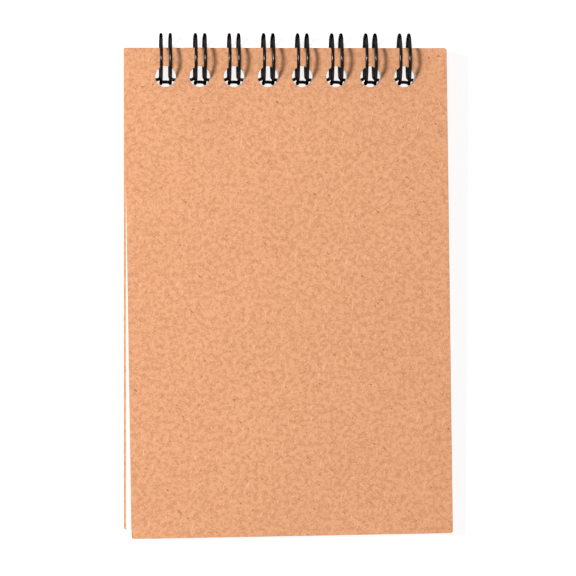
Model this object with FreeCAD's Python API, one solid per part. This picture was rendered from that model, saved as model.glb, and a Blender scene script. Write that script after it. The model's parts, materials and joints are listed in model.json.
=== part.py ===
import FreeCAD, Part
import math
import os

# Pocket notebook: two kraft boards and a pad of loose sheets, bound along the top by one
# twin-loop wire.  Millimetres.  X runs along the binding, +Y points to the bound edge and
# +Z out of the front cover.  The origin is the middle of the back cover's outer face.

Vector = FreeCAD.Vector

# Boards and sheets
cover_width = 80.0
cover_height = 120.0
cover_thickness = 0.5
cover_corner_radius = 0.6
front_side_lean = 0.90  # degrees: the front board's sides lean from square to its hole row
front_foot_slope = 0.90  # degrees: the front board's foot slopes from its hole row
front_foot_drop = 1.28  # the front board's foot, at its middle, below the back board's
side_inset = 0.6  # a sheet stops this far inside the back board's side edges
foot_inset = 0.2  # and this far inside its foot
sheet_corner_radius = 0.4
sheet_thickness = 0.09
sheet_air = 0.01  # between the sheets of the pad
loose_air = 0.05  # between the first sheets, which turn
front_air = 0.10  # between the first sheet and the front board
pad_sheets = 39
loose_sheets = 3

# Punched holes
hole_diameter = 5.2
hole_margin = 4.55  # from the bound edge to the near side of each hole
hole_pitch = 25.4 / 3
hole_count = 8

# Twin-loop wire
wire_diameter = 0.8
ring_radius = 6.1  # to the middle of the wire
leg_spacing = 2.3  # between the two wires of one loop
hole_clearance = 0.1  # between the wire and a hole's wall, where the ring is lowest
root_clearance = 0.35  # between the straight links and the back board
root_bend_radius = 1.2
tip_angle = 13.0  # where a leg ends in the hole, past the ring's lowest point
end_stub = 1.0  # straight wire left at each end of the strip

# What follows from them
bound_edge = cover_height / 2
hole_y = bound_edge - hole_margin - hole_diameter / 2
sheet_pitch = sheet_thickness + sheet_air
loose_pitch = sheet_thickness + loose_air
pad_top = cover_thickness + pad_sheets * sheet_pitch
front_bottom = pad_top + loose_sheets * loose_pitch + front_air
block_thickness = front_bottom + cover_thickness
wire_radius = wire_diameter / 2
leg_room = hole_diameter / 2 - wire_radius - hole_clearance
leg_drop = math.sqrt(leg_room**2 - (leg_spacing / 2) ** 2)
ring_y = hole_y - leg_drop + ring_radius
ring_z = block_thickness / 2

# A leg ends behind the back board at root_angle, measured from the ring's lowest point
link_depth = ring_z + wire_radius + root_clearance
link_angle = math.asin(link_depth / math.hypot(ring_radius, root_bend_radius))
root_angle = math.degrees(link_angle + math.atan(root_bend_radius / ring_radius))


def hole_positions():
    """The middle of each hole along the binding, from -X to +X."""
    first = -hole_pitch * (hole_count - 1) / 2
    return [first + hole_pitch * index for index in range(hole_count)]


def punched_plate(corners, bottom, thickness, corner_radius):
    """A flat plate with rounded corners and the row of binding holes."""
    points = [Vector(x, y, bottom) for x, y in corners]
    outline = Part.makePolygon(points + [points[0]])
    plate = Part.Face(outline).extrude(Vector(0, 0, thickness))
    upright = [edge for edge in plate.Edges if abs(edge.tangentAt(edge.FirstParameter).z) > 0.9]
    plate = plate.makeFillet(corner_radius, upright)
    punches = [
        Part.makeCylinder(hole_diameter / 2, 3 * thickness, Vector(x, hole_y, bottom - thickness))
        for x in hole_positions()
    ]
    return plate.cut(Part.makeCompound(punches))


def front_cover():
    """The front board, whose sides and foot are trimmed a little askew to its hole row."""
    half_width = cover_width / 2
    lean = math.tan(math.radians(front_side_lean))
    slope = math.tan(math.radians(front_foot_slope))
    foot_y = -bound_edge - front_foot_drop
    foot_shift = lean * (bound_edge - foot_y)
    left_foot = (foot_shift - half_width, foot_y - slope * half_width)
    right_foot = (foot_shift + half_width, foot_y + slope * half_width)
    corners = [left_foot, right_foot, (half_width, bound_edge), (-half_width, bound_edge)]
    return punched_plate(corners, front_bottom, cover_thickness, cover_corner_radius)


def back_cover():
    """The back board, square to its hole row."""
    half_width = cover_width / 2
    corners = [
        (-half_width, -bound_edge),
        (half_width, -bound_edge),
        (half_width, bound_edge),
        (-half_width, bound_edge),
    ]
    return punched_plate(corners, 0.0, cover_thickness, cover_corner_radius)


def sheet(bottom):
    """One sheet of paper, flush with the boards at the bound edge."""
    half_width = cover_width / 2 - side_inset
    foot_y = foot_inset - bound_edge
    corners = [
        (-half_width, foot_y),
        (half_width, foot_y),
        (half_width, bound_edge),
        (-half_width, bound_edge),
    ]
    return punched_plate(corners, bottom, sheet_thickness, sheet_corner_radius)


def sheet_bottoms():
    """The underside of each sheet, from the first sheet under the front cover to the last."""
    loose = [pad_top + loose_air + loose_pitch * index for index in range(loose_sheets)]
    pad = [cover_thickness + sheet_air + sheet_pitch * index for index in range(pad_sheets)]
    return sorted(loose + pad, reverse=True)


def ring_point(x, angle):
    """A point on the ring's middle line: 0 is its lowest point and 90 its front, in degrees."""
    turn = math.radians(angle)
    return Vector(x, ring_y - ring_radius * math.cos(turn), ring_z + ring_radius * math.sin(turn))


def ring_tangent(angle):
    """The ring's direction at an angle, towards larger angles."""
    turn = math.radians(angle)
    return Vector(0, math.sin(turn), math.cos(turn))


def quarter_bend(corner_from, start_direction, end_direction):
    """A quarter circle that leaves a point in one direction and ends in another."""
    middle = corner_from + end_direction * root_bend_radius
    half_turn = (start_direction - end_direction) * (root_bend_radius / math.sqrt(2))
    end = middle + start_direction * root_bend_radius
    return Part.Arc(corner_from, middle + half_turn, end).toShape(), end


def leg_arc(x, start_angle, end_angle):
    """One leg of a loop, round the ring from one angle to another."""
    middle_angle = (start_angle + end_angle) / 2
    points = [ring_point(x, angle) for angle in (start_angle, middle_angle, end_angle)]
    return Part.Arc(*points).toShape()


def tip_arc(x, angle):
    """The round tip that joins the two legs of one loop."""
    left = ring_point(x - leg_spacing / 2, angle)
    right = ring_point(x + leg_spacing / 2, angle)
    outermost = (left + right) / 2 - ring_tangent(angle) * (leg_spacing / 2)
    return Part.Arc(left, outermost, right).toShape()


def wire_path():
    """The middle line of the whole wire, from its -X end to its +X end."""
    along = Vector(1, 0, 0)
    down = ring_tangent(-root_angle)
    root = -root_angle
    tip = -360.0 - tip_angle
    drop = down * root_bend_radius
    edges = []
    first_leg = ring_point(hole_positions()[0] - leg_spacing / 2, root)
    start = first_leg + drop - along * (root_bend_radius + end_stub)
    for x in hole_positions():
        left_leg = x - leg_spacing / 2
        right_leg = x + leg_spacing / 2
        bend_start = ring_point(left_leg, root) + drop - along * root_bend_radius
        edges.append(Part.LineSegment(start, bend_start).toShape())
        rise, leg_start = quarter_bend(bend_start, along, down * -1)
        edges.append(rise)
        edges.append(leg_arc(left_leg, root, tip))
        edges.append(tip_arc(x, tip))
        edges.append(leg_arc(right_leg, tip, root))
        fall, start = quarter_bend(ring_point(right_leg, root), down, along)
        edges.append(fall)
    edges.append(Part.LineSegment(start, start + along * end_stub).toShape())
    return Part.Wire(edges)


def binding_wire():
    """The twin-loop wire: one round wire bent into a row of double rings."""
    path = wire_path()
    start = path.Edges[0].firstVertex().Point
    circle = Part.Circle(start, Vector(1, 0, 0), wire_radius)
    profile = Part.Wire(circle.toShape())
    return path.makePipeShell([profile], True, True)


def main():
    """Writes one STEP file for each piece."""
    os.makedirs("parts", exist_ok=True)
    pieces = {
        "front_cover": front_cover(),
        "back_cover": back_cover(),
        "binding_wire": binding_wire(),
    }
    for number, bottom in enumerate(sheet_bottoms(), start=1):
        pieces[f"sheet_{number:02d}"] = sheet(bottom)
    for name, shape in pieces.items():
        shape.exportStep(f"parts/{name}.step")


main()
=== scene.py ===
"""A pocket notebook: kraft boards, a pad of white sheets and a black twin-loop wire."""

import json
import logging
import math
import random
from dataclasses import dataclass, field
from enum import Enum
from typing import Any, Optional, Union

import bmesh
import bpy
from mathutils import Matrix, Vector

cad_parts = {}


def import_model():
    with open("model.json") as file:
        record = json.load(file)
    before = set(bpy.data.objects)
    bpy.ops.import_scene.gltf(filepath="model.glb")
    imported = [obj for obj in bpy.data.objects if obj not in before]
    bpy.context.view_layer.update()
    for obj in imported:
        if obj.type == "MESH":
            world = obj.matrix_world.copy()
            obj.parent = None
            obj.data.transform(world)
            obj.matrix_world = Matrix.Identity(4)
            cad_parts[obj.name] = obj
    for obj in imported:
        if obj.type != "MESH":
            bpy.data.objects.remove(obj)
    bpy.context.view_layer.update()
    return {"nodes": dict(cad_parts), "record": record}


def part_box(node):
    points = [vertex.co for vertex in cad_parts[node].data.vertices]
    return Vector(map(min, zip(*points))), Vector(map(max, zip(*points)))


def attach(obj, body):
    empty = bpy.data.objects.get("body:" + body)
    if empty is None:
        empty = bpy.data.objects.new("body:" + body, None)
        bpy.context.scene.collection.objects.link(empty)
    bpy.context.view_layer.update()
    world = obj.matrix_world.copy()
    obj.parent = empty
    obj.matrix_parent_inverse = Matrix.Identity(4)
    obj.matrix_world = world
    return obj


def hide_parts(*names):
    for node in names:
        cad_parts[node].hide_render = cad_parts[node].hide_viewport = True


MM = 0.001
DOUBLES_DISTANCE = 1e-7
FLAT_ANGLE = 1.0
CUT_SIDE = "cut_side"
HOLE_RIM = "hole_rim"
CUT_SIDE_TILT = 0.93
HOLE_ROW_NEAR = 3.0 * MM
HOLE_ROW_FAR = 11.0 * MM
HOLE_ROW_END = 5.0 * MM

log = logging.getLogger("notebook")

Colour = tuple[float, float, float]
Axes = tuple[float, float, float]
Stops = list[tuple[float, float]]
Value = Union["Signal", float, int]


class Body(Enum):
    """The bodies that the pieces ride on."""

    PAD = "pad"
    FRONT_COVER = "front_cover"
    BINDING = "binding"


class Slot(Enum):
    """The material slots of the record."""

    BOARD = "kraft_board"
    WIRE = "black_wire"
    PAPER = "plain_paper"


class Signal:
    """A shader value: wraps an output socket so that plain arithmetic adds Math nodes."""

    def __init__(self, builder: "NodeBuilder", socket: bpy.types.NodeSocket) -> None:
        """Wraps a socket.

        Args:
            builder: The node builder that adds the nodes.
            socket: The output socket that carries the value.
        """
        self.builder = builder
        self.socket = socket

    def _math(self, operation: str, first: Value, second: Value) -> "Signal":
        """Adds one Math node.

        Args:
            operation: The Math node's operation.
            first: Its first operand.
            second: Its second operand.

        Returns:
            The node's result.
        """
        inputs = {0: first, 1: second}
        node = self.builder.node("ShaderNodeMath", {"operation": operation}, inputs)
        return Signal(self.builder, node.outputs[0])

    def __add__(self, other: Value) -> "Signal":
        """The sum with another value."""
        return self._math("ADD", self, other)

    def __radd__(self, other: Value) -> "Signal":
        """The sum with a number on the left."""
        return self._math("ADD", other, self)

    def __sub__(self, other: Value) -> "Signal":
        """The difference from another value."""
        return self._math("SUBTRACT", self, other)

    def __rsub__(self, other: Value) -> "Signal":
        """A number less this value."""
        return self._math("SUBTRACT", other, self)

    def __mul__(self, other: Value) -> "Signal":
        """The product with another value."""
        return self._math("MULTIPLY", self, other)

    def __rmul__(self, other: Value) -> "Signal":
        """The product with a number on the left."""
        return self._math("MULTIPLY", other, self)


class NodeBuilder:
    """Adds nodes to one tree."""

    def __init__(self, tree: bpy.types.NodeTree) -> None:
        """Starts with an empty tree.

        Args:
            tree: The tree that takes the nodes.
        """
        self.tree = tree
        self.tree.nodes.clear()

    def node(
        self,
        kind: str,
        settings: Optional[dict[str, Any]] = None,
        inputs: Optional[dict[Any, Any]] = None,
    ) -> bpy.types.Node:
        """Adds any node.

        Args:
            kind: The node's type.
            settings: The node's own properties, set first; "stops" fills a ramp.
            inputs: A value or a link for each socket, by name or number.

        Returns:
            The new node.
        """
        made = self.tree.nodes.new(kind)
        for key, value in (settings or {}).items():
            if key == "stops":
                self._fill_ramp(made.color_ramp, value)
            else:
                setattr(made, key, value)
        for key, value in (inputs or {}).items():
            self.feed(made.inputs[key], value)
        return made

    @staticmethod
    def _fill_ramp(ramp: bpy.types.ColorRamp, stops: Stops) -> None:
        """Sets a ramp's stops.

        Args:
            ramp: The ramp, which has two stops to begin with.
            stops: A place and a grey value for each stop.
        """
        while len(ramp.elements) < len(stops):
            ramp.elements.new(1.0)
        for element, (place, grey) in zip(ramp.elements, stops):
            element.position = place
            element.color = (grey, grey, grey, 1.0)

    def feed(self, socket: bpy.types.NodeSocket, value: Any) -> None:
        """Links or sets one input socket.

        Args:
            socket: The input.
            value: A signal, an output socket, or a plain value.
        """
        if isinstance(value, Signal):
            self.tree.links.new(value.socket, socket)
        elif isinstance(value, bpy.types.NodeSocket):
            self.tree.links.new(value, socket)
        elif socket.type == "RGBA":
            socket.default_value = (*value, 1.0)
        else:
            socket.default_value = value


class Shader(NodeBuilder):
    """Builds the nodes of one material."""

    def __init__(self, name: str) -> None:
        """Starts a material with an output and one surface shader.

        Args:
            name: The material's name.
        """
        self.material = bpy.data.materials.new(name)
        self.material.use_nodes = True
        super().__init__(self.material.node_tree)
        self.surface = self.node("ShaderNodeBsdfPrincipled")
        self.node("ShaderNodeOutputMaterial", {}, {"Surface": self.surface.outputs[0]})
        self.position = self.node("ShaderNodeTexCoord").outputs["Object"]

    def stretched(self, scale: Axes, turn: float = 0.0) -> bpy.types.NodeSocket:
        """The position, turned about Z and stretched along the three axes.

        Args:
            scale: How much longer the pattern is drawn along each axis.
            turn: The turn about Z in degrees.

        Returns:
            The stretched position.
        """
        inputs = {
            "Vector": self.position,
            "Rotation": (0.0, 0.0, math.radians(turn)),
            "Scale": scale,
        }
        return self.node("ShaderNodeMapping", {"vector_type": "TEXTURE"}, inputs).outputs[0]

    def noise(
        self,
        scale: float,
        detail: float = 2.0,
        roughness: float = 0.5,
        position: Optional[bpy.types.NodeSocket] = None,
    ) -> Signal:
        """A cloudy pattern from 0 to 1.

        Args:
            scale: Waves in a metre.
            detail: Octaves of finer waves.
            roughness: How strong the finer waves are.
            position: Where it is read; the object's own position if not given.

        Returns:
            The pattern.
        """
        inputs = {
            "Vector": position or self.position,
            "Scale": scale,
            "Detail": detail,
            "Roughness": roughness,
        }
        return Signal(self, self.node("ShaderNodeTexNoise", {}, inputs).outputs[0])

    def ramp(self, value: Signal, stops: Stops) -> Signal:
        """Reshapes a value through grey stops.

        Args:
            value: The value that goes in.
            stops: A place and a grey value for each stop.

        Returns:
            The reshaped value.
        """
        made = self.node("ShaderNodeValToRGB", {"stops": stops}, {0: value})
        return Signal(self, made.outputs[0])

    def attribute(self, name: str) -> Signal:
        """A value stored on the piece's own mesh."""
        made = self.node("ShaderNodeAttribute", {"attribute_name": name})
        return Signal(self, made.outputs["Fac"])

    def blend(self, factor: Value, first: Any, second: Any) -> bpy.types.NodeSocket:
        """Mixes two colours.

        Args:
            factor: 0 gives the first colour and 1 the second.
            first: A colour or a link.
            second: A colour or a link.

        Returns:
            The mixed colour.
        """
        settings = {"data_type": "RGBA", "blend_type": "MIX", "clamp_factor": True}
        made = self.node("ShaderNodeMix", settings, {0: factor, 6: first, 7: second})
        return made.outputs[2]

    def relief(self, height: Signal, distance: float, strength: float) -> None:
        """Feeds a bump into the surface.

        Args:
            height: The height from 0 to 1.
            distance: How far 1 stands above 0, in metres.
            strength: How strongly it shows.
        """
        inputs = {"Height": height, "Distance": distance, "Strength": strength}
        bump = self.node("ShaderNodeBump", {}, inputs)
        self.feed(self.surface.inputs["Normal"], bump.outputs[0])


@dataclass(frozen=True)
class Fibres:
    """Short fibres that lie one way.

    turn is the way they lie in degrees from X, length how many times longer than wide they
    are, low and high the noise levels where they start and are full, and share how much of
    their colour shows.
    """

    turn: float
    length: float
    low: float
    high: float
    share: float

    def mask(self, shader: Shader, scale: float) -> Signal:
        """Where the fibres lie.

        Args:
            shader: The node builder.
            scale: The noise's waves in a metre.

        Returns:
            A mask, 1 on the fibres.
        """
        place = shader.stretched((self.length, 1.0, 1.0), self.turn)
        strands = shader.noise(scale, 1.0, 0.4, place)
        return shader.ramp(strands, [(self.low, 0.0), (self.high, 1.0)])


@dataclass(frozen=True)
class KraftFinish:
    """Recycled kraft card: mottled pulp, short fibres and a few dark flecks, with painted shade
    on the cut sides and a painted highlight round the holes.

    The scales are the noises' waves in a metre, from the broad clouds to the fine fibres,
    and the shares are how much of each pattern's colour shows.
    """

    name: str
    sheet_colour: Colour = (0.672, 0.322, 0.166)
    dark_colour: Colour = (0.445, 0.190, 0.086)
    light_colour: Colour = (0.735, 0.405, 0.235)
    fleck_colour: Colour = (0.300, 0.115, 0.045)
    # painted shade: the dark brown laid over every cut side
    edge_colour: Colour = (0.250, 0.100, 0.050)
    # painted highlight: the light cream laid over the hole walls and their rims
    punched_colour: Colour = (0.86, 0.62, 0.42)
    cloud_scale: float = 60.0
    pulp_scale: float = 900.0
    fleck_scale: float = 1500.0
    fibre_scale: float = 2300.0
    grain_scale: float = 2600.0
    cloud_share: float = 0.30
    pulp_share: float = 0.60
    grain_share: float = 0.60
    # how strongly the painted highlight shows on the hole walls
    rim_share: float = 0.80
    long_fibres: Fibres = Fibres(35.0, 5.0, 0.66, 0.74, 0.55)
    cross_fibres: Fibres = Fibres(-52.0, 4.0, 0.67, 0.75, 0.60)
    pale_fibres: Fibres = Fibres(80.0, 5.0, 0.68, 0.76, 0.70)
    flecks: Fibres = Fibres(-40.0, 2.2, 0.725, 0.765, 0.85)
    roughness: float = 0.86
    rubbed: float = 0.10
    gloss: float = 0.25
    tooth_depth: float = 0.05 * MM
    tooth_strength: float = 0.45

    def make(self) -> bpy.types.Material:
        """The finished material."""
        shader = Shader(self.name)
        clouds = shader.noise(self.cloud_scale, 3.0, 0.5)
        pulp = shader.noise(self.pulp_scale, 3.0, 0.62)
        grain = shader.noise(self.grain_scale, 2.0, 0.6)
        dark = shader.ramp(pulp, [(0.40, 1.0), (0.56, 0.0)])
        light = shader.ramp(grain, [(0.50, 0.0), (0.68, 1.0)])
        long_fibres = self.long_fibres.mask(shader, self.fibre_scale)
        cross_fibres = self.cross_fibres.mask(shader, self.fibre_scale)
        pale_fibres = self.pale_fibres.mask(shader, self.fibre_scale)
        flecks = self.flecks.mask(shader, self.fleck_scale)
        colour = self.sheet_colour
        for mask, share, tint in (
            (clouds, self.cloud_share, self.dark_colour),
            (dark, self.pulp_share, self.dark_colour),
            (light, self.grain_share, self.light_colour),
            (long_fibres, self.long_fibres.share, self.dark_colour),
            (cross_fibres, self.cross_fibres.share, self.dark_colour),
            (pale_fibres, self.pale_fibres.share, self.light_colour),
            (flecks, self.flecks.share, self.fleck_colour),
            # painted shade: every cut side, the hole walls too, is darkened to a dark brown
            (shader.attribute(CUT_SIDE), 1.0, self.edge_colour),
            # painted highlight: the hole walls and rims are lightened towards cream
            (shader.attribute(HOLE_RIM), self.rim_share, self.punched_colour),
        ):
            colour = shader.blend(mask * share, colour, tint)
        shader.feed(shader.surface.inputs["Base Color"], colour)
        shader.feed(shader.surface.inputs["Roughness"], self.roughness - light * self.rubbed)
        shader.feed(shader.surface.inputs["Specular IOR Level"], self.gloss)
        height = pulp * 0.6 + grain * 0.3 + long_fibres * 0.2 + pale_fibres * 0.2
        shader.relief(height, self.tooth_depth, self.tooth_strength)
        return shader.material


@dataclass(frozen=True)
class PaperFinish:
    """Smooth white writing paper with a faint tooth, and painted shade for the gaps between
    leaves on its edges.

    The scales are the noises' waves in a metre.
    """

    name: str
    sheet_colour: Colour = (0.80, 0.80, 0.785)
    shade_colour: Colour = (0.735, 0.735, 0.715)
    # painted shade: the grey of the gaps between leaves on the cut sides
    gap_colour: Colour = (0.36, 0.355, 0.34)
    tooth_scale: float = 3200.0
    cloud_scale: float = 240.0
    layer_scale: float = 55.0
    layer_height: float = 0.004
    roughness: float = 0.78
    rubbed: float = 0.08
    gloss: float = 0.30
    tooth_depth: float = 0.01 * MM
    tooth_strength: float = 0.25

    def make(self) -> bpy.types.Material:
        """The finished material."""
        shader = Shader(self.name)
        tooth = shader.noise(self.tooth_scale, 3.0, 0.6)
        clouds = shader.noise(self.cloud_scale, 3.0, 0.55)
        colour = shader.blend(clouds * 0.5 + tooth * 0.3, self.sheet_colour, self.shade_colour)
        flattened = shader.stretched((1.0, 1.0, self.layer_height))
        layers = shader.noise(self.layer_scale, 2.0, 0.6, flattened)
        # painted shade: dark lines across the cut sides stand in for the gaps between leaves
        lines = shader.ramp(layers, [(0.40, 0.75), (0.60, 0.0)])
        colour = shader.blend(lines * shader.attribute(CUT_SIDE), colour, self.gap_colour)
        shader.feed(shader.surface.inputs["Base Color"], colour)
        shader.feed(shader.surface.inputs["Roughness"], self.roughness + tooth * self.rubbed)
        shader.feed(shader.surface.inputs["Specular IOR Level"], self.gloss)
        shader.relief(tooth, self.tooth_depth, self.tooth_strength)
        return shader.material


@dataclass(frozen=True)
class WireFinish:
    """A smooth black coat on steel wire, shaded as a black metal that stays dark at its edges.

    The coat has a faint orange peel and dull worn patches. The scales are the noises' waves
    in a metre.
    """

    name: str
    coat_colour: Colour = (0.030, 0.030, 0.032)
    worn_colour: Colour = (0.045, 0.045, 0.047)
    edge_tint: Colour = (0.0, 0.0, 0.0)
    peel_scale: float = 2200.0
    wear_scale: float = 420.0
    roughness: float = 0.20
    worn_roughness: float = 0.12
    metallic: float = 1.0
    peel_depth: float = 0.01 * MM
    peel_strength: float = 0.15

    def make(self) -> bpy.types.Material:
        """The finished material."""
        shader = Shader(self.name)
        peel = shader.noise(self.peel_scale, 2.0, 0.5)
        rub = shader.ramp(shader.noise(self.wear_scale, 3.0, 0.6), [(0.52, 0.0), (0.72, 1.0)])
        colour = shader.blend(rub, self.coat_colour, self.worn_colour)
        shader.feed(shader.surface.inputs["Base Color"], colour)
        roughness = self.roughness + rub * self.worn_roughness
        shader.feed(shader.surface.inputs["Roughness"], roughness)
        shader.feed(shader.surface.inputs["Metallic"], self.metallic)
        shader.feed(shader.surface.inputs["Specular Tint"], self.edge_tint)
        shader.relief(peel, self.peel_depth, self.peel_strength)
        return shader.material


@dataclass(frozen=True)
class FloorFinish:
    """A matt white studio table, lit softly from below so that it shows through the holes."""

    name: str
    pale_colour: Colour = (0.36, 0.36, 0.36)
    dull_colour: Colour = (0.34, 0.34, 0.34)
    glow_colour: Colour = (1.0, 1.0, 1.0)
    glow: float = 0.82
    cloud_scale: float = 6.0
    roughness: float = 0.9
    gloss: float = 0.1

    def make(self) -> bpy.types.Material:
        """The finished material."""
        shader = Shader(self.name)
        clouds = shader.noise(self.cloud_scale, 2.0, 0.5)
        colour = shader.blend(clouds, self.pale_colour, self.dull_colour)
        shader.feed(shader.surface.inputs["Base Color"], colour)
        shader.feed(shader.surface.inputs["Roughness"], self.roughness)
        shader.feed(shader.surface.inputs["Specular IOR Level"], self.gloss)
        shader.feed(shader.surface.inputs["Emission Color"], self.glow_colour)
        shader.feed(shader.surface.inputs["Emission Strength"], self.glow)
        return shader.material


def new_object(name: str, mesh: bpy.types.Mesh) -> bpy.types.Object:
    """Adds an object at the origin.

    Args:
        name: The piece's name.
        mesh: Its mesh.

    Returns:
        The new object.
    """
    made = bpy.data.objects.new(name, mesh)
    bpy.context.scene.collection.objects.link(made)
    return made


def dress(piece: bpy.types.Object, material: bpy.types.Material) -> None:
    """Gives a piece one material."""
    piece.data.materials.clear()
    piece.data.materials.append(material)


@dataclass
class CutSheet:
    """A flat punched piece, made from its CAD node with softened or slightly trimmed edges."""

    node: str
    piece_name: str
    body: str
    slot: Slot
    bevel: float
    trims: tuple[float, float, float] = (0.0, 0.0, 0.0)
    trim_reach: float = 0.5 * MM
    bevel_segments: int = 2
    bevel_profile: float = 0.6
    crease_angle: float = 50.0
    piece: Optional[bpy.types.Object] = field(default=None, init=False)

    def build(self) -> None:
        """Copies the node's mesh, joins its triangles and rounds its rims."""
        mesh = bpy.data.meshes.new(self.piece_name)
        work = bmesh.new()
        work.from_mesh(frame["nodes"][self.node].data)
        bmesh.ops.remove_doubles(work, verts=work.verts, dist=DOUBLES_DISTANCE)
        bmesh.ops.dissolve_limit(
            work,
            angle_limit=math.radians(FLAT_ANGLE),
            verts=work.verts,
            edges=work.edges,
        )
        if self.bevel > 0.0:
            self._round_rims(work)
        self._trim_unevenly(work)
        bmesh.ops.triangulate(work, faces=[face for face in work.faces if len(face.verts) > 4])
        bmesh.ops.recalc_face_normals(work, faces=work.faces)
        work.to_mesh(mesh)
        work.free()
        self._mark_cut_sides(mesh)
        self.piece = new_object(self.piece_name, mesh)

    def _trim_unevenly(self, work: bmesh.types.BMesh) -> None:
        """Draws the side edges and the foot in by the sheet's own small amounts.

        Args:
            work: The joined mesh.
        """
        left, foot, right = self.trims
        low_x, high_x = (pick(v.co.x for v in work.verts) for pick in (min, max))
        low_y = min(v.co.y for v in work.verts)
        reach = self.trim_reach
        for vertex in work.verts:
            if vertex.co.x < low_x + reach:
                vertex.co.x += left
            elif vertex.co.x > high_x - reach:
                vertex.co.x -= right
            if vertex.co.y < low_y + reach:
                vertex.co.y += foot

    @staticmethod
    def _mark_cut_sides(mesh: bpy.types.Mesh) -> None:
        """Stores which faces are cut sides and which are a hole's rim, for the finish to read.

        Args:
            mesh: The finished mesh.
        """
        side_x = max(vertex.co.x for vertex in mesh.vertices)
        bound_y = max(vertex.co.y for vertex in mesh.vertices)
        mesh.attributes.new(CUT_SIDE, "FLOAT", "FACE")
        mesh.attributes.new(HOLE_RIM, "FLOAT", "FACE")
        sides, rims = mesh.attributes[CUT_SIDE].data, mesh.attributes[HOLE_RIM].data
        for polygon, side, rim in zip(mesh.polygons, sides, rims):
            depth = bound_y - polygon.center.y
            cut = abs(polygon.normal.z) < CUT_SIDE_TILT
            between_ends = abs(polygon.center.x) < side_x - HOLE_ROW_END
            in_row = between_ends and HOLE_ROW_NEAR < depth < HOLE_ROW_FAR
            side.value = float(cut)
            rim.value = float(cut and in_row)

    def _round_rims(self, work: bmesh.types.BMesh) -> None:
        """Bevels every edge where a flat face meets a cut side.

        Args:
            work: The joined mesh.
        """
        sharp = math.radians(self.crease_angle)
        rims = [edge for edge in work.edges if edge.is_manifold and edge.calc_face_angle() > sharp]
        bmesh.ops.bevel(
            work,
            geom=rims,
            offset=self.bevel,
            offset_type="OFFSET",
            segments=self.bevel_segments,
            profile=self.bevel_profile,
            affect="EDGES",
            clamp_overlap=False,
        )

    def fit(self, material: bpy.types.Material) -> None:
        """Dresses the piece, ties it to its body and hides its node.

        Args:
            material: Its finish.
        """
        dress(self.piece, material)
        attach(self.piece, self.body)
        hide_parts(self.node)


@dataclass
class Boards:
    """The front and back boards."""

    rim_radius: float = 0.12 * MM
    pieces: list[CutSheet] = field(default_factory=list, init=False)

    def build(self) -> None:
        """Builds both boards."""
        for node, name, body in (
            ("front_cover", "front_board", Body.FRONT_COVER),
            ("back_cover", "back_board", Body.PAD),
        ):
            board = CutSheet(node, name, body.value, Slot.BOARD, self.rim_radius)
            board.build()
            self.pieces.append(board)

    def finish(self) -> None:
        """Dresses both boards in kraft card."""
        kraft = KraftFinish("kraft_card").make()
        for board in self.pieces:
            board.fit(kraft)
            log.info("%s: %d faces", board.piece_name, len(board.piece.data.polygons))


@dataclass
class PaperPad:
    """The white sheets between the boards."""

    largest_trim: float = 0.12 * MM
    seed: int = 11
    pieces: list[CutSheet] = field(default_factory=list, init=False)

    def build(self) -> None:
        """Builds each sheet on the body that its node rides on."""
        draw = random.Random(self.seed)
        bodies = frame["record"]["behaviour"]["bodies"]
        places = {node: body for body, nodes in bodies.items() for node in nodes}
        for node in sorted(name for name in places if name.startswith("sheet_")):
            trims = tuple(draw.uniform(0.0, self.largest_trim) for _ in range(3))
            sheet = CutSheet(node, f"paper_{node}", places[node], Slot.PAPER, 0.0, trims)
            sheet.build()
            self.pieces.append(sheet)

    def finish(self) -> None:
        """Dresses the sheets in plain paper."""
        paper = PaperFinish("white_paper").make()
        for sheet in self.pieces:
            sheet.fit(paper)
        log.info("paper sheets: %d", len(self.pieces))


class TreeBuilder(NodeBuilder):
    """Builds one Geometry Nodes tree with named inputs."""

    def __init__(self, name: str, sizes: dict[str, str]) -> None:
        """Starts a tree that takes and gives one geometry.

        Args:
            name: The tree's name.
            sizes: The last part of the socket type for each named input.
        """
        super().__init__(bpy.data.node_groups.new(name, "GeometryNodeTree"))
        self._add_socket("Geometry", "OUTPUT", "Geometry")
        for size, kind in {"Geometry": "Geometry", **sizes}.items():
            self._add_socket(size, "INPUT", kind)
        self.given = self.node("NodeGroupInput").outputs

    def _add_socket(self, name: str, way: str, kind: str) -> None:
        """Adds one socket to the tree's own inputs or outputs.

        Args:
            name: The socket's name.
            way: INPUT or OUTPUT.
            kind: The last part of its socket type.
        """
        self.tree.interface.new_socket(name, in_out=way, socket_type="NodeSocket" + kind)

    def value(self, name: str) -> Signal:
        """A named input, ready for arithmetic."""
        return Signal(self, self.given[name])

    def apply(self, piece: bpy.types.Object, values: dict[str, Any]) -> bpy.types.Mesh:
        """Runs the tree on an object and returns the plain mesh.

        Args:
            piece: The object that holds the tree's starting geometry.
            values: A value for each named input.

        Returns:
            The finished mesh.
        """
        modifier = piece.modifiers.new(self.tree.name, "NODES")
        modifier.node_group = self.tree
        for item in self.tree.interface.items_tree:
            if item.in_out == "INPUT" and item.name in values:
                modifier[item.identifier] = values[item.name]
        bpy.context.view_layer.update()
        evaluated = piece.evaluated_get(bpy.context.evaluated_depsgraph_get())
        mesh = bpy.data.meshes.new_from_object(evaluated)
        piece.modifiers.remove(modifier)
        return mesh


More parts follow.
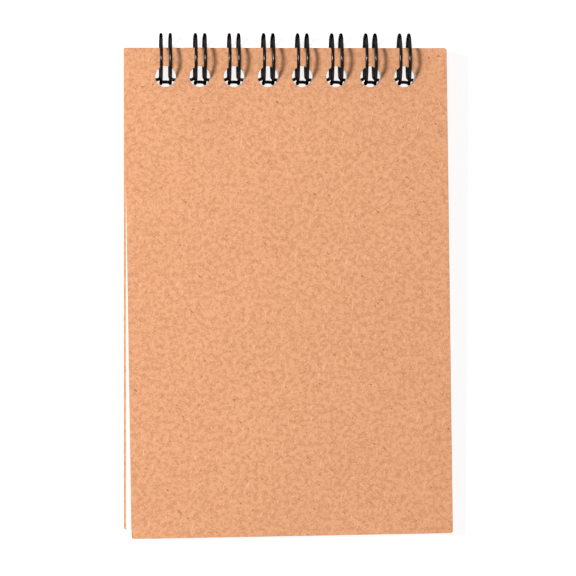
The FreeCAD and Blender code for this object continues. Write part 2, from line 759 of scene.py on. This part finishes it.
@dataclass
class TwinLoopWire:
    """One wire bent into a row of twin loops, with straight links behind the back board.

    end_rings holds the width and the rise of each ring of an end's rounding, as shares of
    the wire's radius and of the end's whole rounding.
    """

    wire_radius: float = 0.4 * MM
    ring_radius: float = 6.1 * MM
    leg_spacing: float = 2.3 * MM
    loop_count: int = 8
    pitch: float = 25.4 / 3 * MM
    root_angle: float = 44.95
    root_bend_radius: float = 1.2 * MM
    tip_angle: float = 13.0
    end_round: float = 0.15 * MM
    end_rings: tuple[tuple[float, float], ...] = ((0.92, 0.55), (0.75, 1.0))
    weld_distance: float = 0.02 * MM
    lean: float = 0.12 * MM
    seed: int = 5
    leg_steps: int = 72
    tip_steps: int = 16
    bend_steps: int = 8
    sides: int = 20
    box: Optional[tuple[Vector, Vector]] = field(default=None, init=False)
    piece: Optional[bpy.types.Object] = field(default=None, init=False)

    def _ring_point(self, x: float, angle: float) -> Vector:
        """A point on the ring's middle line.

        Args:
            x: Its place along the binding.
            angle: 0 is the ring's lowest point and 90 its front, in degrees.

        Returns:
            The point.
        """
        reach = self.ring_radius + self.wire_radius
        turn = math.radians(angle)
        across = self.ring_radius * math.cos(turn)
        up = self.ring_radius * math.sin(turn)
        return Vector((x, self.box[1].y - reach - across, self.box[1].z - reach + up))

    @staticmethod
    def _tangent(angle: float) -> Vector:
        """The ring's direction at an angle, towards larger angles."""
        turn = math.radians(angle)
        return Vector((0.0, math.sin(turn), math.cos(turn)))

    def _bend(self, side: float) -> list[Vector]:
        """The quarter bend between a leg's root and the link beside it, from the leg outwards.

        Args:
            side: -1 for the left leg and 1 for the right.

        Returns:
            The bend's points.
        """
        root = self._ring_point(side * self.leg_spacing / 2, -self.root_angle)
        down = self._tangent(-self.root_angle)
        outward = Vector((side, 0.0, 0.0))
        middle = root + outward * self.root_bend_radius
        points = []
        for step in range(self.bend_steps + 1):
            turn = math.pi / 2 * step / self.bend_steps
            points.append(
                middle
                - outward * (self.root_bend_radius * math.cos(turn))
                + down * (self.root_bend_radius * math.sin(turn))
            )
        return points

    def _loop_points(self) -> list[Vector]:
        """The middle line of one loop, from halfway along one link to halfway along the next."""
        root, tip = -self.root_angle, -360.0 - self.tip_angle
        half_legs = self.leg_spacing / 2
        left_bend = list(reversed(self._bend(-1.0)))
        right_bend = self._bend(1.0)
        sweep = tip - root
        steps = range(1, self.leg_steps + 1)
        angles = [root + sweep * step / self.leg_steps for step in steps]
        left_leg = [self._ring_point(-half_legs, angle) for angle in angles]
        right_leg = [self._ring_point(half_legs, angle) for angle in reversed(angles)]
        middle = self._ring_point(0.0, tip)
        onward = self._tangent(tip) * -half_legs
        round_tip = []
        for step in range(1, self.tip_steps):
            turn = math.pi * step / self.tip_steps
            across = Vector((-half_legs * math.cos(turn), 0.0, 0.0))
            round_tip.append(middle + across + onward * math.sin(turn))
        start = Vector((-self.pitch / 2, left_bend[0].y, left_bend[0].z))
        end = Vector((self.pitch / 2, right_bend[-1].y, right_bend[-1].z))
        return [start, *left_bend, *left_leg, *round_tip, *right_leg, *right_bend, end]

    def _repeat_tree(self) -> TreeBuilder:
        """The tree that repeats one loop along the binding and gives it its round section."""
        sizes = {
            "Loop Count": "Int",
            "Pitch": "Float",
            "Wire Radius": "Float",
            "Sides": "Int",
            "Lean": "Float",
            "Straight Below": "Float",
            "Lean Height": "Float",
            "Seed": "Int",
            "Finish": "Material",
        }
        made = TreeBuilder("twin_loops", sizes)
        given = made.given
        first = made.value("Pitch") * (made.value("Loop Count") - 1.0) * -0.5
        start = made.node("ShaderNodeCombineXYZ", {}, {"X": first}).outputs[0]
        offset = made.node("ShaderNodeCombineXYZ", {}, {"X": given["Pitch"]}).outputs[0]
        line = made.node(
            "GeometryNodeMeshLine",
            {"mode": "OFFSET"},
            {"Count": given["Loop Count"], "Start Location": start, "Offset": offset},
        )
        loops = made.node(
            "GeometryNodeInstanceOnPoints",
            {},
            {"Points": line.outputs[0], "Instance": given["Geometry"]},
        )
        index = made.node("GeometryNodeInputIndex").outputs[0]
        store = {"data_type": "INT", "domain": "INSTANCE"}
        numbered = made.node(
            "GeometryNodeStoreNamedAttribute",
            store,
            {"Geometry": loops.outputs[0], "Name": "loop_number", "Value": index},
        )
        realized = made.node("GeometryNodeRealizeInstances", {}, {0: numbered.outputs[0]})
        leaned = self._lean(made, realized.outputs[0])
        path = made.node("GeometryNodeMeshToCurve", {}, {0: leaned})
        circle = {"Resolution": given["Sides"], "Radius": given["Wire Radius"]}
        section = made.node("GeometryNodeCurvePrimitiveCircle", {}, circle)
        tube = made.node("GeometryNodeCurveToMesh", {}, {0: path.outputs[0], 1: section.outputs[0]})
        weld = {0: tube.outputs[0], "Distance": self.weld_distance}
        welded = made.node("GeometryNodeMergeByDistance", {}, weld)
        smooth = made.node("GeometryNodeSetShadeSmooth", {}, {0: welded.outputs[0]})
        plain = made.node("GeometryNodeRealizeInstances", {}, {0: smooth.outputs[0]})
        dressed = made.node(
            "GeometryNodeSetMaterial", {}, {0: plain.outputs[0], "Material": given["Finish"]}
        )
        made.node("NodeGroupOutput", {}, {0: dressed.outputs[0]})
        return made

    @staticmethod
    def _lean(made: TreeBuilder, loops: bpy.types.NodeSocket) -> bpy.types.NodeSocket:
        """Leans each loop a little to one side above its links.

        Args:
            made: The tree.
            loops: The loops' middle lines.

        Returns:
            The leaned lines.
        """
        number = made.node(
            "GeometryNodeInputNamedAttribute", {"data_type": "INT"}, {"Name": "loop_number"}
        ).outputs[0]
        draw = made.node(
            "FunctionNodeRandomValue",
            {"data_type": "FLOAT"},
            {2: -1.0, 3: 1.0, "ID": number, "Seed": made.given["Seed"]},
        ).outputs[1]
        position = made.node("GeometryNodeInputPosition").outputs[0]
        height = made.node("ShaderNodeSeparateXYZ", {}, {0: position}).outputs["Z"]
        share = made.node(
            "ShaderNodeMath",
            {"operation": "DIVIDE", "use_clamp": True},
            {0: Signal(made, height) - made.value("Straight Below"), 1: made.given["Lean Height"]},
        ).outputs[0]
        shift = Signal(made, draw) * made.value("Lean") * Signal(made, share)
        offset = made.node("ShaderNodeCombineXYZ", {}, {"X": shift}).outputs[0]
        moved = {"Geometry": loops, "Offset": offset}
        return made.node("GeometryNodeSetPosition", {}, moved).outputs[0]

    def build(self, finish: bpy.types.Material) -> None:
        """Builds the whole wire.

        Args:
            finish: The wire's coat.
        """
        self.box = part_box("binding_wire")
        points = self._loop_points()
        line = bpy.data.meshes.new("twin_loop_line")
        edges = [(index, index + 1) for index in range(len(points) - 1)]
        line.from_pydata(points, edges, [])
        guide = new_object("twin_loop_guide", line)
        link_top = points[0].z
        mesh = self._repeat_tree().apply(
            guide,
            {
                "Loop Count": self.loop_count,
                "Pitch": self.pitch,
                "Wire Radius": self.wire_radius,
                "Sides": self.sides,
                "Lean": self.lean,
                "Straight Below": link_top,
                "Lean Height": self.ring_radius,
                "Seed": self.seed,
                "Finish": finish,
            },
        )
        bpy.data.objects.remove(guide)
        self._cut_ends(mesh)
        self.piece = new_object("black_twin_loop_wire", mesh)

    def _cut_ends(self, mesh: bpy.types.Mesh) -> None:
        """Shortens the two end links to their stubs and closes them with rounded ends.

        Args:
            mesh: The wire's mesh, open at both ends.
        """
        low, high = self.box
        work = bmesh.new()
        work.from_mesh(mesh)
        open_edges = [edge for edge in work.edges if edge.is_boundary]
        rims = {vertex for edge in open_edges for vertex in edge.verts}
        for vertex in rims:
            vertex.co.x = high.x - self.end_round if vertex.co.x > 0.0 else low.x + self.end_round
        for side in (-1.0, 1.0):
            edge_loop = [edge for edge in open_edges if edge.verts[0].co.x * side > 0.0]
            self._round_end(work, edge_loop, side)
        bmesh.ops.recalc_face_normals(work, faces=work.faces)
        work.to_mesh(mesh)
        work.free()
        mesh.polygons.foreach_set("use_smooth", [True] * len(mesh.polygons))

    def _round_end(
        self,
        work: bmesh.types.BMesh,
        rim: list[bmesh.types.BMEdge],
        side: float,
    ) -> None:
        """Closes one end of the wire with a rounded cap.

        Args:
            work: The wire's mesh.
            rim: The open edges of that end.
            side: -1 for the low end and 1 for the high end.
        """
        centre = sum((edge.verts[0].co for edge in rim), Vector()) / len(rim)
        for width, rise in self.end_rings:
            made = bmesh.ops.extrude_edge_only(work, edges=rim)["geom"]
            fresh = [item for item in made if isinstance(item, bmesh.types.BMVert)]
            for vertex in fresh:
                spoke = vertex.co - centre
                spoke.x = 0.0
                spoke.length = self.wire_radius * width
                vertex.co = centre + spoke + Vector((side * self.end_round * rise, 0.0, 0.0))
            rim = [
                item
                for item in made
                if isinstance(item, bmesh.types.BMEdge) and item.is_boundary
            ]
        bmesh.ops.contextual_create(work, geom=rim)

    def finish(self) -> None:
        """Ties the wire to its body and hides its node."""
        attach(self.piece, Body.BINDING.value)
        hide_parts("binding_wire")
        log.info("wire: %d faces", len(self.piece.data.polygons))


@dataclass
class Studio:
    """A pale glowing table, a small key light from the left, a soft sky and the camera."""

    floor_size: float = 6.0
    floor_gap: float = 0.02 * MM
    key_direction: tuple[float, float, float] = (-0.75, 0.20, 1.0)
    key_distance: float = 0.9
    key_size: float = 0.20
    key_power: float = 9.2
    horizon_height: float = 0.25
    horizon_strength: float = 1.0
    zenith_height: float = 0.60
    zenith_strength: float = 0.30
    camera_distance: float = 1.200
    camera_tilt: float = 2.5
    camera_lean: float = 2.65
    camera_roll: float = 0.04
    camera_offset: tuple[float, float] = (-0.83 * MM, -0.36 * MM)
    turning_height: float = 2.7 * MM
    lens_length: float = 301.625
    sensor_width: float = 36.0
    nearest_view: float = 0.01
    furthest_view: float = 20.0

    def build(self) -> None:
        """Builds the whole studio."""
        self._floor()
        self._sky()
        self._key_light()
        self._camera()
        log.info("studio: table, sky, key light and camera")

    def _floor(self) -> None:
        """Lays the table under the loops and the back board's foot, where the notebook rests."""
        wire_low, wire_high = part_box("binding_wire")
        board_low, board_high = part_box("back_cover")
        loops_y = (wire_low.y + wire_high.y) / 2
        slope = (wire_low.z - board_low.z) / (loops_y - board_low.y)
        half = self.floor_size / 2
        corners = []
        for x, y in ((-half, -half), (half, -half), (half, half), (-half, half)):
            corners.append((x, y, board_low.z + slope * (y - board_low.y) - self.floor_gap))
        mesh = bpy.data.meshes.new("table_top")
        mesh.from_pydata(corners, [], [(0, 1, 2, 3)])
        floor = new_object("table_top", mesh)
        dress(floor, FloorFinish("white_table").make())

    def _sky(self) -> None:
        """Lights the scene from all round, brightest at the horizon."""
        world = bpy.data.worlds.new("studio_sky")
        bpy.context.scene.world = world
        world.use_nodes = True
        sky = NodeBuilder(world.node_tree)
        direction = sky.node("ShaderNodeTexCoord").outputs["Generated"]
        height = sky.node("ShaderNodeSeparateXYZ", {}, {0: direction}).outputs["Z"]
        stops = [
            (self.horizon_height, self.horizon_strength),
            (self.zenith_height, self.zenith_strength),
        ]
        grey = sky.node("ShaderNodeValToRGB", {"stops": stops}, {0: height}).outputs[0]
        background = sky.node("ShaderNodeBackground", {}, {"Color": grey}).outputs[0]
        sky.node("ShaderNodeOutputWorld", {}, {"Surface": background})

    def _key_light(self) -> None:
        """Adds the soft key light."""
        lamp = bpy.data.lights.new("key_light", "AREA")
        lamp.shape = "DISK"
        lamp.size = self.key_size
        lamp.energy = self.key_power
        light = bpy.data.objects.new("key_light", lamp)
        bpy.context.scene.collection.objects.link(light)
        away = Vector(self.key_direction).normalized()
        light.location = away * self.key_distance
        light.rotation_euler = (-away).to_track_quat("-Z", "Y").to_euler()

    def _camera(self) -> None:
        """Places the camera over the notebook."""
        lens = bpy.data.cameras.new("camera")
        lens.sensor_width = self.sensor_width
        lens.lens = self.lens_length
        lens.clip_start = self.nearest_view
        lens.clip_end = self.furthest_view
        camera = bpy.data.objects.new("camera", lens)
        bpy.context.scene.collection.objects.link(camera)
        turn = (
            Matrix.Rotation(math.radians(self.camera_roll), 3, "Z")
            @ Matrix.Rotation(math.radians(self.camera_lean), 3, "Y")
            @ Matrix.Rotation(math.radians(self.camera_tilt), 3, "X")
        )
        back = turn.transposed()
        view_from = Vector((-self.camera_offset[0], -self.camera_offset[1], self.camera_distance))
        camera.location = back @ view_from + Vector((0.0, 0.0, self.turning_height))
        camera.rotation_euler = back.to_euler()
        bpy.context.scene.camera = camera
        bpy.context.scene.view_settings.view_transform = "Standard"


def main() -> None:
    """Builds the notebook piece by piece."""
    Studio().build()
    boards = Boards()
    boards.build()
    boards.finish()
    pad = PaperPad()
    pad.build()
    pad.finish()
    wire = TwinLoopWire()
    wire.build(WireFinish("black_nylon_coat").make())
    wire.finish()


if __name__ == "__main__":
    logging.basicConfig(level=logging.INFO, format="%(name)s: %(message)s")
    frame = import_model()
    main()
